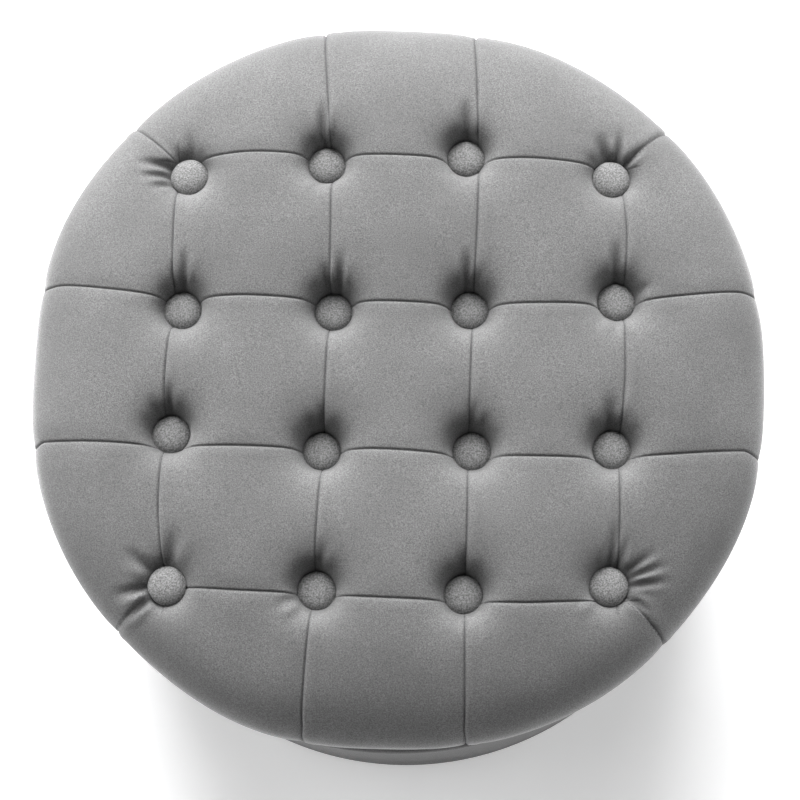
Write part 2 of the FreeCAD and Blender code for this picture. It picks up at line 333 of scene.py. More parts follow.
def lightStudio(look):
    bm = bmesh.new()
    bmesh.ops.create_grid(bm, x_segments=8, y_segments=8, size=look["floorSize"] * mm / 2,
                          matrix=Matrix.Translation((0, 0, -look["floorDrop"] * mm)))
    paper = plainMaterial("floor_acrylic_lit_white", look["floor"], look["floorSpeck"], 40.0, 0.9, 0.0)
    shader = paper.node_tree.nodes["Principled BSDF"]
    shader.inputs["Emission Color"].default_value = (1, 1, 1, 1)
    shader.inputs["Emission Strength"].default_value = look["floorGlow"]
    floor = newPiece("studio_floor", bm, [paper])
    # a lit cyclorama, seen past the floor's edge; it neither lights nor shades the object
    bm = bmesh.new()
    bmesh.ops.create_uvsphere(bm, u_segments=48, v_segments=24, radius=look["floorSize"] * mm * 0.48)
    bmesh.ops.reverse_faces(bm, faces=bm.faces)
    cyclorama = newPiece("studio_cyclorama", bm, [glowMaterial("cyclorama_lit_white", look["cyclorama"])])
    for ray in ("visible_diffuse", "visible_glossy", "visible_shadow", "visible_transmission"):
        setattr(cyclorama, ray, False)
    for name, (source, strength, width) in look["lamps"].items():
        data = bpy.data.lights.new(name, "SUN")
        data.energy = strength
        data.angle = math.radians(width)
        addObject(name, data).matrix_world = Vector(source).to_track_quat("Z", "Y").to_matrix().to_4x4()


studioWorld(studio)
lightStudio(studio)
bpy.context.scene.view_settings.view_transform = "Standard"
print("studio ready")


buttonNames = [f"button_{row}_{column}" for row in range(1, 5) for column in range(1, 5)]


def middle(node):
    low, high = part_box(node)
    return [(low[i] + high[i]) / 2 / mm for i in range(2)]


buttonAt = {name: middle(name) for name in buttonNames}
buttonFoot = {name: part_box(name)[0][2] / mm for name in buttonNames}
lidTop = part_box("lid_cover")[1][2] / mm
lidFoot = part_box("lid_cover")[0][2] / mm
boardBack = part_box("lid_board")[1][2] / mm


crownSteps = 500
lidShape = {
    "rim": 220.0,          # radius where the seams pull in
    "bulge": 4.8,          # how much further the rim stands between them
    "bulgeSpread": 14.0,   # degrees from a seam pair to the full bulge
    "shoulder": 345.0,     # height of the widest circle
    "crown": 1.0,          # clearance under the CAD top
    "squareness": 4.3,     # the crown is a superellipse
    "tuck": 1.6,           # the side leans in this much at its foot
    "rimStart": 212.0,     # radius past which seams run straight down
    "footRound": 15.0,
    "footHeight": 320.0,
    "hemEdge": 173.0,
    "cloth": 1.15,
    # lumps of stuffing round the side: how high, how many, and where they start
    "lumps": ((0.5, 3, 0.8), (0.35, 7, 2.1), (0.25, 12, 0.3)),
}


def lidProfile(shape):
    # radius and height along the surface, from the crown to the hem's edge
    t = np.linspace(0, math.pi / 2, crownSteps)
    rise = lidTop - shape["crown"] - shape["shoulder"]
    radius = shape["rim"] * np.sin(t) ** (2 / shape["squareness"])
    height = shape["shoulder"] + rise * np.cos(t)
    t = np.linspace(0, 1, 40)[1:]
    side = shape["rim"] - shape["tuck"] * t * t
    radius = np.append(radius, side)
    height = np.append(height, shape["shoulder"] + (shape["footHeight"] - shape["shoulder"]) * t)
    t = np.linspace(0, math.pi / 2, 60)[1:]
    foot = lidFoot + 0.05
    radius = np.append(radius, side[-1] - shape["footRound"] * (1 - np.cos(t)))
    height = np.append(height, foot + (shape["footHeight"] - foot) * (1 - np.sin(t)))
    t = np.linspace(0, 1, 30)[1:]
    radius = np.append(radius, radius[-1] + (shape["hemEdge"] - radius[-1]) * t)
    height = np.append(height, foot + 0 * t)
    along = np.append(0, np.cumsum(np.hypot(np.diff(radius), np.diff(height))))
    return along, radius, height


profileAlong, profileRadius, profileHeight = lidProfile(lidShape)
hemAlong = profileAlong[-1]
rimAlong = float(np.interp(lidShape["rimStart"], profileRadius[:crownSteps], profileAlong[:crownSteps]))


seamKnots = (-212, -176, -132, -90, -48, -5, 35, 80, 122, 162, 212)
columnSeams = (   # straight line, then the drift from it at each knot going to the back
    (-134, (0, 0, 1, -2, -1, 0, 2, 1, 0, 0, 0)),
    (-42, (-10, -7, -3, -1, 1, 2, 3, 3, 2, -1, -6)),
    (45, (-1, -2, -3, -2, -2, -1, 0, 2, 3, 2, 1)),
    (133, (0, 0, -2, -2, -2, 1, 1, 3, 1, 0, 0)),
)
rowSeams = (      # drift at each knot going to the right
    (-136, (0, 2, 4, 2, 1, -1, -2, -3, -1, 0, 0)),
    (-51.5, (5, 4, 1, 1, 0, 0, -2, -3, -3, 0, 5)),
    (37, (14, 8, 1, 2, 0, -1, -2, -1, 0, 6, 15)),
    (126, (0, 0, 0, 3, 1, 0, -1, 0, -2, 0, 0)),
)
columnLines = np.array([line for line, sway in columnSeams], dtype=float)
rowLines = np.array([line for line, sway in rowSeams], dtype=float)
cornerSeams = (137.0, 223.7, 315.4, 43.2)    # degrees, from a corner button out to the hem

seamLook = {
    "groove": 1.1, "grooveWidth": 0.95,
    "valley": 2.2, "valleyWidth": 9.0, "valleyFall": 1.5,
    "cornerValley": (0.8, 7.0),               # share of the depth, and width
    "rimValley": 1.5, "sideValley": 0.6,
    "welt": (0.6, 0.22), "weltWidth": 9.5,    # height beside the column and the row seams
}


swayLook = {"reach": 260.0, "blend": 15}            # how far the curves run, and how softly they turn
fanAngles = (math.radians(15), math.radians(41))    # the fan dies away between these, off a seam pair


def swayCurves(seams):
    reach, blend = swayLook["reach"], swayLook["blend"]
    fine = np.arange(-reach, reach + 1)
    window = np.hanning(2 * blend + 1)
    window /= window.sum()
    curves = []
    for line, sway in seams:
        raw = np.interp(np.arange(-reach - blend, reach + blend + 1), seamKnots, sway)
        curves.append(np.convolve(raw, window, "valid"))
    return fine, np.array(curves)


columnSway = swayCurves(columnSeams)
rowSway = swayCurves(rowSeams)


def drift(lines, sway, across, along):
    fine, curves = sway
    values = np.array([np.interp(along, fine, curve) for curve in curves])
    index = np.clip(np.searchsorted(lines, across) - 1, 0, len(lines) - 2)
    share = np.clip((across - lines[index]) / (lines[index + 1] - lines[index]), 0, 1)
    place = np.arange(len(across))
    return values[index, place] * (1 - share) + values[index + 1, place] * share


def fanned(a, b):
    # below the rim the seams run straight down the side, so angles open out with the flat radius
    reach = np.hypot(a, b)
    angle = np.arctan2(b, a)
    quarter = np.round(angle / (math.pi / 2)) * (math.pi / 2)
    off = angle - quarter
    wide = np.maximum(reach, rimAlong) / rimAlong
    opened = np.arcsin(np.clip(np.sin(np.abs(off)) * wide, 0, 1)) * np.sign(off)
    share = 1 - steps(np.abs(off), *fanAngles)
    turned = quarter + off + (opened - off) * share
    return reach * np.cos(turned), reach * np.sin(turned)


def onCloth(a, b):
    # lattice place to place on the flattened cover
    u, v = fanned(a, b)
    ring = np.minimum(1, rimAlong / np.maximum(np.hypot(u, v), 1))
    return u + drift(columnLines, columnSway, a, v * ring), v + drift(rowLines, rowSway, b, u * ring)


wellLook = {
    "overlap": 0.4,      # the cloth comes up this far round a button's foot
    # a well's flat floor, how fast its side rises and how steeply, and how wells and valleys join
    "floor": 10.0, "reach": 4.2, "fall": 1.4, "join": 2.4,
    # the cloth is drawn into a furrow behind each button
    "furrow": (24.0, 1.6, 5.2),    # length, depth and width
}
# how far from a button's middle a pleat starts, what its width and depth are multiplied by,
# and how much of it goes straight down
pleatLook = {"from": 10.0, "widen": 1.3, "deepen": 1.55, "sink": 0.8}
# where an effect comes in or dies away: millimetres over the cloth from the lid's middle,
# or back from the hem's edge, or out from the outermost seams
fades = {
    "bulgeStart": (175, 225), "bulgeEndFromHem": (62, 38), "tuftEnd": (222, 262),
    "rimValley": (165, 215), "sideValley": (235, 275), "cornerSeam": (178, 186),
    "seamEndFromHem": (30, 20), "seamPastOuter": (14, 4),
}
# each pleat: start angle and direction in degrees, length, depth, width; negative depth stands up
pleats = {
    "button_1_1": ((150, 172, 22, 2.1, 2.2), (181, 181, 20, 1.5, 1.9), (213, 190, 15, 1.3, 1.8),
                   (132, 138, 20, -0.8, 2.2), (80, 96, 15, 1.0, 2.4)),
    "button_1_2": ((102, 92, 27, 3.2, 2.2), (82, 90, 24, -0.8, 2.0), (250, 262, 14, 0.9, 2.4)),
    "button_1_3": ((92, 90, 24, 2.4, 3.0), (270, 268, 12, 0.8, 2.6)),
    "button_1_4": ((111, 100, 17, 2.2, 3.2), (66, 88, 20, 2.6, 1.9), (44, 48, 18, 1.9, 1.7),
                   (85, 94, 14, -0.8, 2.2)),
    "button_2_1": ((84, 89, 23, 2.8, 2.2), (112, 96, 18, 1.4, 2.2), (98, 92, 18, -0.7, 1.8),
                   (265, 272, 14, 0.9, 2.4)),
    "button_2_2": ((66, 90, 21, 2.8, 2.1), (110, 98, 17, 1.4, 2.4), (88, 92, 18, -0.8, 1.8),
                   (262, 268, 12, 0.8, 2.4)),
    "button_2_3": ((104, 90, 22, 2.9, 2.2), (70, 78, 14, 0.8, 2.4)),
    "button_2_4": ((96, 90, 23, 2.5, 2.5), (246, 258, 15, -0.9, 2.6), (290, 282, 15, -0.9, 2.6),
                   (20, 26, 13, 0.9, 2.2)),
    "button_3_1": ((92, 90, 18, 2.4, 2.4), (128, 122, 13, 0.8, 2.2)),
    "button_3_2": ((88, 88, 16, 1.7, 2.5), (120, 108, 12, 0.7, 2.4)),
    "button_3_3": ((90, 90, 16, 1.7, 2.5), (60, 72, 12, 0.7, 2.4)),
    "button_3_4": ((102, 91, 19, 1.9, 3.4), (62, 74, 14, 0.9, 2.2)),
    "button_4_1": ((80, 82, 22, 1.9, 3.6), (138, 140, 21, 1.6, 2.5), (160, 163, 20, -0.7, 2.4),
                   (186, 188, 20, 1.9, 2.2), (205, 204, 19, -0.8, 2.2), (222, 216, 22, 1.7, 2.1)),
    "button_4_2": ((78, 85, 17, 1.8, 2.5), (225, 218, 16, -0.9, 2.6), (204, 204, 14, 0.8, 2.2)),
    "button_4_3": ((92, 90, 15, 1.5, 2.6), (262, 266, 13, 0.8, 2.4)),
    "button_4_4": ((88, 82, 24, 2.2, 2.6), (60, 74, 22, 1.7, 2.0), (38, 36, 24, 1.8, 1.9),
                   (20, 23, 25, 2.0, 1.8), (2, 10, 23, 1.8, 1.8), (11, 16, 20, -0.8, 1.7),
                   (225, 228, 16, -0.8, 2.6), (328, 330, 18, 1.3, 2.0)),
}


def seamStrength(along):
    # valleys fade down the side, and are strongest where the cloth is drawn between buttons
    rim = (seamLook["rimValley"] - seamLook["valley"]) * steps(along, *fades["rimValley"])
    side = (seamLook["sideValley"] - seamLook["rimValley"]) * steps(along, *fades["sideValley"])
    return seamLook["valley"] + rim + side


def seamGroove(distance):
    return seamLook["groove"] * np.clip(1 - np.abs(distance) / seamLook["grooveWidth"], 0, 1)


def seamValley(distance, width):
    return np.exp(-np.abs(distance / width) ** seamLook["valleyFall"])


def panelEdge(distance, height):
    # raised on one side of the seam by its allowance
    return height * steps(distance, 0.4, 1.8) * (1 - steps(distance, 4.5, seamLook["weltWidth"]))


def tuftDepth(x, y, onTop):
    # the wells round the buttons, and the furrow behind each
    wells = np.zeros_like(x)
    furrow = np.zeros_like(x)
    for name in buttonNames:
        bx, by = buttonAt[name]
        base = np.interp(math.hypot(bx, by), profileRadius[:crownSteps], profileHeight[:crownSteps])
        deep = base - (buttonFoot[name] + wellLook["overlap"])
        distance = np.hypot(x - bx, y - by)
        fall = 1 + (np.maximum(distance - wellLook["floor"], 0) / wellLook["reach"]) ** wellLook["fall"]
        wells += (deep / fall * onTop) ** wellLook["join"]
        reach, depth, width = wellLook["furrow"]
        behind = steps(y - by, 0, 9) * (1 - steps(y - by, reach * 0.4, reach * 1.5))
        furrow += depth * behind * np.exp(-((x - bx) / width) ** 2) * onTop
    wells = wells ** (1 / wellLook["join"])
    return wells, furrow


def seamDepth(a, b, u, v, along):
    # the valley that each seam draws in, the groove it lies in, and the allowance beside it
    far, near = fades["seamPastOuter"]
    rowReach = steps(v, rowLines[0] - far, rowLines[0] - near) \
        * (1 - steps(v, rowLines[3] + near, rowLines[3] + far))
    columnReach = steps(u, columnLines[0] - far, columnLines[0] - near) \
        * (1 - steps(u, columnLines[3] + near, columnLines[3] + far))
    strength = seamStrength(along)
    valley = np.zeros_like(a)
    groove = np.zeros_like(a)
    welt = np.zeros_like(a)
    low, high = fades["seamEndFromHem"]
    under = 1 - steps(along, hemAlong - low, hemAlong - high)
    for lines, across, outer, sign, raised in ((columnLines, a, rowReach, 1, seamLook["welt"][0]),
                                               (rowLines, b, columnReach, -1, seamLook["welt"][1])):
        for number, line in enumerate(lines):
            here = outer if number in (0, 3) else np.ones_like(a)
            distance = across - line
            valley = np.maximum(valley, here * strength * seamValley(distance, seamLook["valleyWidth"]))
            groove = np.maximum(groove, here * seamGroove(distance))
            welt = np.maximum(welt, here * panelEdge(sign * distance, raised))
    share, width = seamLook["cornerValley"]
    for bearing in cornerSeams:
        theta = math.radians(bearing)
        out = u * math.cos(theta) + v * math.sin(theta)
        distance = -u * math.sin(theta) + v * math.cos(theta)
        here = steps(out, *fades["cornerSeam"])
        valley = np.maximum(valley, here * strength * share * seamValley(distance, width))
        groove = np.maximum(groove, here * seamGroove(distance))
        welt = np.maximum(welt, here * panelEdge(distance, seamLook["welt"][0]))
    return valley * under, groove * under, welt * under


def pleatDepth(x, y):
    fold = np.zeros_like(x)
    for name, folds in pleats.items():
        bx, by = buttonAt[name]
        for start, direction, reach, depth, width in folds:
            sx = bx + pleatLook["from"] * math.cos(math.radians(start))
            sy = by + pleatLook["from"] * math.sin(math.radians(start))
            dx, dy = math.cos(math.radians(direction)), math.sin(math.radians(direction))
            forward = (x - sx) * dx + (y - sy) * dy
            aside = -(x - sx) * dy + (y - sy) * dx
            wide = width * pleatLook["widen"] * (0.8 + 0.5 * np.clip(forward / reach, 0, 1))
            t = aside / wide
            envelope = steps(forward, -1, 6) * (1 - steps(forward, reach * 0.35, reach * 1.15))
            fold += depth * pleatLook["deepen"] * envelope * (1 - 1.1 * t * t) * np.exp(-t * t / 1.6)
    return fold


def lidPoints(a, b, inset=0.0, detail=True):
    # lattice places to points in millimetres, and how much the pile is flattened there
    u, v = onCloth(a, b)
    along = np.minimum(np.hypot(u, v), hemAlong)
    angle = np.arctan2(v, u)
    radius = np.interp(along, profileAlong, profileRadius)
    height = np.interp(along, profileAlong, profileHeight)
    ahead = np.minimum(along + 0.5, hemAlong)
    behind = np.maximum(ahead - 1.0, 0)
    slopeR = np.interp(ahead, profileAlong, profileRadius) - np.interp(behind, profileAlong, profileRadius)
    slopeZ = np.interp(ahead, profileAlong, profileHeight) - np.interp(behind, profileAlong, profileHeight)
    length = np.maximum(np.hypot(slopeR, slopeZ), 1e-9)
    outR, outZ = -slopeZ / length, slopeR / length
    offAxis = np.degrees(np.abs(angle - np.round(angle / (math.pi / 2)) * (math.pi / 2)))
    low, high = fades["bulgeEndFromHem"]
    side = steps(along, *fades["bulgeStart"]) * (1 - steps(along, hemAlong - low, hemAlong - high))
    bulge = lidShape["bulge"] * (1 - np.exp(-(offAxis / lidShape["bulgeSpread"]) ** 2)) * side
    uneven = side * sum(tall * np.sin(count * angle + start) for tall, count, start in lidShape["lumps"])
    x = radius * np.cos(angle)
    y = radius * np.sin(angle)
    onTop = 1 - steps(along, *fades["tuftEnd"])
    wells, furrow = tuftDepth(x, y, onTop)
    valley, groove, welt = seamDepth(a, b, u, v, along)
    fold = pleatDepth(x, y) * onTop if detail else 0

    # wells drop straight down, everything else goes in along the surface
    total = (np.maximum(wells, 0) ** wellLook["join"] + valley ** wellLook["join"]) ** (1 / wellLook["join"])
    share = wells / np.maximum(wells + valley, 1e-6)
    down = total * share + fold * pleatLook["sink"] + furrow
    inward = total * (1 - share) + groove - welt - bulge - uneven
    radial = radius - outR * inward
    level = height - outZ * inward - down
    points = np.stack([radial * np.cos(angle), radial * np.sin(angle), level], axis=1)
    points -= inset * np.stack([outR * np.cos(angle), outR * np.sin(angle), outZ], axis=1)
    return points, groove / seamLook["groove"]


def latticeLines(lines, step, offsets):
    # lattice lines crowd in round each seam, and reach just past the hem
    places = set()
    for line in lines:
        for off in offsets:
            places.add(round(line + off, 3))
            places.add(round(line - off, 3))
    spans = [(-hemAlong - spare, lines[0] - offsets[-1])]
    spans += [(lines[i] + offsets[-1], lines[i + 1] - offsets[-1]) for i in range(3)]
    spans += [(lines[3] + offsets[-1], hemAlong + spare)]
    for low, high in spans:
        count = max(1, round((high - low) / step))
        places.update(round(low + (high - low) * i / count, 3) for i in range(count + 1))
    ordered = sorted(places)
    kept = [ordered[0]]
    for place in ordered[1:]:
        if place - kept[-1] > closest:
            kept.append(place)
    return np.array(kept)


closeOffsets = (0, 0.42, 0.85, 1.6, 2.6, 3.7, 4.9, 6.1, 7.4, 8.7, 10, 11.3, 12.7, 14.1, 15.6, 17.1, 18.7,
                20.4, 22.2, 24.2, 26.4)
waddingOffsets = (0, 2.5, 5, 7.5, 10, 13, 16.5, 20.5)
coarseOffsets = (0, 5, 10, 16, 22)
# extra cuts along the corner seams: how far out they start, how near a face must be, and where they go
cornerCuts = {"from": 176, "within": 6, "offsets": (0, 0.85, -0.85, 2.4, -2.4)}
spare = 6              # the lattice reaches this far past the hem before it is trimmed
closest = 0.2          # two lattice lines nearer than this become one


def lidLattice(step, close, corners=True):
    columns = latticeLines(columnLines, step, close)
    rows = latticeLines(rowLines, step, close)
    bm = bmesh.new()
    bmesh.ops.create_grid(bm, x_segments=len(columns) - 1, y_segments=len(rows) - 1, size=0.5)
    wide, tall = len(columns) - 1, len(rows) - 1
    for vert in bm.verts:
        vert.co.x = columns[round((vert.co.x + 0.5) * wide)]
        vert.co.y = rows[round((vert.co.y + 0.5) * tall)]
    if corners:
        for bearing in cornerSeams:
            theta = math.radians(bearing)
            normal = Vector((-math.sin(theta), math.cos(theta), 0))
            outward = Vector((math.cos(theta), math.sin(theta), 0))
            for offset in cornerCuts["offsets"]:
                near = [f for f in bm.faces if f.calc_center_bounds().dot(outward) > cornerCuts["from"]
                        and abs(f.calc_center_bounds().dot(normal) - offset) < cornerCuts["within"]]
                parts = list({e for f in near for e in f.edges} | {v for f in near for v in f.verts})
                bmesh.ops.bisect_plane(bm, geom=near + parts, dist=0.05,
                                       plane_co=normal * offset, plane_no=normal)
    outside = [f for f in bm.faces if f.calc_center_median().length > hemAlong - step * 0.45]
    bmesh.ops.delete(bm, geom=outside, context="FACES")
    for vert in bm.verts:
        if vert.is_boundary:
            vert.co *= hemAlong / vert.co.length
    bmesh.ops.recalc_face_normals(bm, faces=bm.faces)
    if sum(f.normal.z for f in bm.faces) < 0:
        bmesh.ops.reverse_faces(bm, faces=bm.faces)
    return bm


swell = {
    "step": 6.0, "voxel": 6.0, "pressure": 4.0, "frames": 20, "cap": 6.0, "share": 0.6,
    "stillNear": 13.0,     # the cloth is held this close to a button
    "stillSeam": (2.5, 9), "seamHold": 0.35,    # and partly along a seam
    "outerSeamEnd": (118, 138),                 # where the hold of an outermost seam dies away
    "stillBelow": (308, 326),                   # heights below which the cloth doesn't move
}


def swellField():
    bm = lidLattice(swell["step"], coarseOffsets, corners=False)
    flat = np.array([v.co[:] for v in bm.verts])
    points, stitched = lidPoints(flat[:, 0], flat[:, 1], detail=False)
    for vert, point in zip(bm.verts, points):
        vert.co = point * mm
    rim = [e for e in bm.edges if e.is_boundary]
    bmesh.ops.holes_fill(bm, edges=rim, sides=0)
    bmesh.ops.recalc_face_normals(bm, faces=bm.faces)
    dummy = newPiece("swell_form", bm, [])
    remesh = dummy.modifiers.new("remesh", "REMESH")
    remesh.mode = "VOXEL"
    remesh.voxel_size = swell["voxel"] * mm
    mesh = bpy.data.meshes.new_from_object(dummy.evaluated_get(bpy.context.evaluated_depsgraph_get()))
    dummy.modifiers.clear()
    dummy.data = mesh
    before = readPoints(mesh) / mm
    held = np.zeros(len(before))
    for name in buttonNames:
        bx, by = buttonAt[name]
        distance = np.hypot(before[:, 0] - bx, before[:, 1] - by)
        held = np.maximum(held, (1 - steps(distance, swell["stillNear"] - 2, swell["stillNear"] + 3))
                          * (before[:, 2] > boardBack))
    held = np.maximum(held, 1 - steps(before[:, 2], *swell["stillBelow"]))
    for lines, sway, across, along in ((columnLines, columnSway, before[:, 0], before[:, 1]),
                                       (rowLines, rowSway, before[:, 1], before[:, 0])):
        for number, line in enumerate(lines):
            fine, curves = sway
            distance = np.abs(across - line - np.interp(along, fine, curves[number]))
            limit = 1.0 if number in (1, 2) else 1 - steps(np.abs(along), *swell["outerSeamEnd"])
            held = np.maximum(held, swell["seamHold"] * limit * (1 - steps(distance, *swell["stillSeam"])))
    group = dummy.vertex_groups.new(name="held")
    for index, weight in enumerate(held):
        if weight > 0.01:
            group.add([index], float(weight), "REPLACE")
    cloth = dummy.modifiers.new("cloth", "CLOTH")
    settings = cloth.settings
    settings.use_pressure = True
    settings.uniform_pressure_force = swell["pressure"]
    settings.vertex_group_mass = "held"
    settings.pin_stiffness = 1.0
    settings.effector_weights.gravity = 0
    settings.quality = 5
    cloth.point_cache.frame_start = 1
    cloth.point_cache.frame_end = swell["frames"]
    scene = bpy.context.scene
    for number in range(1, swell["frames"] + 1):
        scene.frame_set(number)
    result = dummy.evaluated_get(bpy.context.evaluated_depsgraph_get())
    after = readPoints(result.to_mesh()) / mm
    result.to_mesh_clear()
    scene.frame_set(1)
    bpy.data.objects.remove(dummy)
    move = after - before
    size = np.linalg.norm(move, axis=1, keepdims=True)
    move *= np.minimum(1, swell["cap"] / np.maximum(size, 1e-9))
    print("swell: mean move %.2f mm, largest %.2f mm" % (size.mean(), size.max()))
    tree = kdtree.KDTree(len(before))
    for index, place in enumerate(before):
        tree.insert(place, index)
    tree.balance()
    return tree, move


def swollen(points, field):
    if field is None:
        return points
    tree, move = field
    result = points.copy()
    for index, point in enumerate(points):
        near = tree.find_n(point, 6)
        weights = np.array([1 / (distance + 0.8) ** 2 for place, number, distance in near])
        shift = (move[[number for place, number, distance in near]] * weights[:, None]).sum(0) / weights.sum()
        result[index] = point + shift * swell["share"]
    return result


field = swellField()
print("lid swell settled")


# Lattice step away from the seams and lines beside them, depth under the velvet's face, and thickness;
# the cover alone has corner seams, and the foam, a solid block, has no pleats. The wadding and the
# foam stop just above the board.
coverLayer = {"step": 2.8, "close": closeOffsets, "inset": 0.0, "corners": True, "detail": True}
waddingLayer = {"step": 6.5, "close": waddingOffsets, "inset": 4.2, "corners": False, "detail": True,
                "thickness": 5.0, "stopAbove": 0.4}
foamLayer = {"step": 7.5, "close": coarseOffsets, "inset": 9.4, "corners": False, "detail": False,
             "stopAbove": 0.3}


def lidSkin(name, material, layer, thickness=None):
    bm = lidLattice(layer["step"], layer["close"], layer["corners"])
    flat = np.array([v.co[:] for v in bm.verts])
    points, stitched = lidPoints(flat[:, 0], flat[:, 1], layer["inset"], layer["detail"])
    points = swollen(points, field)
    attribute = bm.verts.layers.float.new("stitched")
    for vert, point, crushed in zip(bm.verts, points, stitched):
        vert.co = point * mm
        vert[attribute] = crushed
    if "stopAbove" in layer:
        geometry = list(bm.verts) + list(bm.edges) + list(bm.faces)
        bmesh.ops.bisect_plane(bm, geom=geometry, dist=1e-6, plane_no=(0, 0, 1), clear_inner=True,
                               plane_co=(0, 0, (boardBack + layer["stopAbove"]) * mm))
    if thickness is None:
        rim = [e for e in bm.edges if e.is_boundary]
        bmesh.ops.contextual_create(bm, geom=rim)
        bmesh.ops.recalc_face_normals(bm, faces=bm.faces)
    piece = newPiece(name, bm, [material])
    if thickness is not None:
        thicken(piece, thickness)
    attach(piece, "lid")
    return piece


cover = lidSkin("lid_velvet", velvet, coverLayer, lidShape["cloth"])
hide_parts("lid_cover")

wadding = lidSkin("lid_wadding_layer", finishes["wadding"], waddingLayer, waddingLayer["thickness"])
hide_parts("lid_wadding")

foam = lidSkin("lid_foam_block", finishes["cushion_foam"], foamLayer)
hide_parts("lid_foam")
print("lid cushion made:", len(cover.data.vertices), "points in the cover")


buttonLook = {
    "radius": 11.5, "height": 7.6, "dome": 2.9, "steps": 42,
    "gathers": 14, "gatherDepth": 0.28,    # folds of the cloth pulled in below the edge
    "lean": (2.0, 9.0),                    # degrees of tilt at the middle, and more towards the rim
}


def makeButton(name, number):
    bx, by = buttonAt[name]
    foot = buttonFoot[name]
    r, h, dome = buttonLook["radius"], buttonLook["height"], buttonLook["dome"]
    outline = [(0, h), (r * 0.35, h - dome * 0.07), (r * 0.62, h - dome * 0.3), (r * 0.83, h - dome * 0.72),
               (r * 0.96, h - dome * 1.25), (r, h - dome * 1.55), (r * 0.97, h * 0.22), (r * 0.87, h * 0.06),
               (r * 0.7, 0.02), (r * 0.45, 0.0), (0, 0.1)]
    bm = spunSkin(outline, buttonLook["steps"], unit=1)
    phase = number * 1.7
    for vert in bm.verts:
        angle = math.atan2(vert.co.y, vert.co.x)
        low = 1 - min(1, max(0, (vert.co.z / h - 0.1) / 0.45))
        away = math.hypot(vert.co.x, vert.co.y) / r
        # the cloth is gathered in below the cap's edge
        pull = buttonLook["gatherDepth"] * low * away * (math.sin(buttonLook["gathers"] * angle + phase)
                                                         + 0.5 * math.sin(9 * angle + 2 * phase))
        vert.co.x += math.cos(angle) * pull
        vert.co.y += math.sin(angle) * pull
        vert.co.z += 0.09 * math.sin(2 * angle + phase) * away
    reach = math.hypot(bx, by) / lidShape["rim"]
    lean = math.radians(buttonLook["lean"][0] + buttonLook["lean"][1] * reach * reach)
    tilt = Matrix.Rotation(lean, 4, Vector((-by, bx, 0)).normalized())
    place = Matrix.Scale(mm, 4) @ Matrix.Translation((bx, by, foot)) @ tilt
    bmesh.ops.transform(bm, matrix=place, verts=bm.verts)
    # the buttons wear the paler velvet, which is painted light
    piece = newPiece(f"velvet_{name}", bm, [buttonVelvetPaintedLight])
    smooth = piece.modifiers.new("smooth", "SUBSURF")
    smooth.levels = smooth.render_levels = 1
    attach(piece, "lid")
    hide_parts(name)
    return piece


for number, name in enumerate(buttonNames):
    makeButton(name, number)
print("buttons made")


stitchLook = {"pitch": 3.2, "length": 2.1, "width": 0.42, "thread": "#5e5e60", "threadShade": "#3c3d40"}
# spun polyester thread: grey and dull, and barely lighter than the seam it lies in
threadMaterial = plainMaterial("thread_polyester_grey", stitchLook["thread"], stitchLook["threadShade"],
                               0.5, 0.7, 0.3)


def seamPaths():
    # lattice paths of every seam, from end to end
    paths = []
    long = np.arange(-hemAlong + 24, hemAlong - 24, 1.0)
    for lines, others, order in ((columnLines, rowLines, 1), (rowLines, columnLines, -1)):
        for number, line in enumerate(lines):
            run = long if number in (1, 2) else np.arange(others[0] + 2, others[3] - 2, 1.0)
            paths.append((np.full_like(run, line), run)[::order])
    for bearing in cornerSeams:
        run = np.arange(190, hemAlong - 24, 1.0)
        paths.append((run * math.cos(math.radians(bearing)), run * math.sin(math.radians(bearing))))
    return paths


def makeStitches():
    length, width = stitchLook["length"], stitchLook["width"]
    bm = bmesh.new()
    for a, b in seamPaths():
        points, stitched = lidPoints(a, b)
        points = swollen(points, field)
        near = np.min([np.hypot(points[:, 0] - bx, points[:, 1] - by)
                       for bx, by in buttonAt.values()], axis=0)
        travelled = np.append(0, np.cumsum(np.linalg.norm(np.diff(points, axis=0), axis=1)))
        for place in np.arange(1.5, travelled[-1] - 1.5, stitchLook["pitch"]):
            index = int(np.searchsorted(travelled, place))
            if near[index] < buttonLook["radius"]:
                continue
            ahead = Vector(points[min(index + 1, len(points) - 1)] - points[index - 1])
            turn = ahead.to_track_quat("X", "Z").to_matrix().to_4x4()
            size = Matrix.Diagonal((length / 2, width / 2, width / 2, 1))
            matrix = Matrix.Scale(mm, 4) @ Matrix.Translation(points[index]) @ turn @ size
            bmesh.ops.create_icosphere(bm, subdivisions=1, radius=1.0, matrix=matrix)
    piece = newPiece("seam_stitches", bm, [threadMaterial])
    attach(piece, "lid")


makeStitches()
print("seams stitched")


drumLook = {
    "steps": 260, "rim": 7.0, "foot": 3.0, "mouth": 184.8, "mouthRound": 1.2, "cloth": 1.15,
    # rings of the mesh: radii of the hem under the base and of the flat rim, heights of the turn-in
    "hemRings": (172.0, 176.0, 180.0, 192.0, 205.0), "rimRings": (208.0, 200.0, 192.0, 187.0),
    "turnInRings": (300.0, 297.0, 294.0, 291.0, 288.2), "wallRings": 46,
    "outside": 205.0,                           # what lies past this radius is wall
    "wallStart": (16, 60), "wallEnd": (270, 298),
    "soft": 0.45, "slack": 0.9,                 # unevenness, and how far the wall lies in from its edges
    "seamAt": 90.0, "seamDepth": 0.9, "seamWidth": 1.2, "allowance": 0.4,
    "gather": (0.055, 0.07, 0.35),              # how the mesh crowds in at the back seam, in radians
}


def roundCorner(cx, cz, radius, start, end, count):
    angles = [math.radians(start + (end - start) * i / count) for i in range(count + 1)]
    return [(cx + radius * math.cos(angle), cz + radius * math.sin(angle)) for angle in angles]


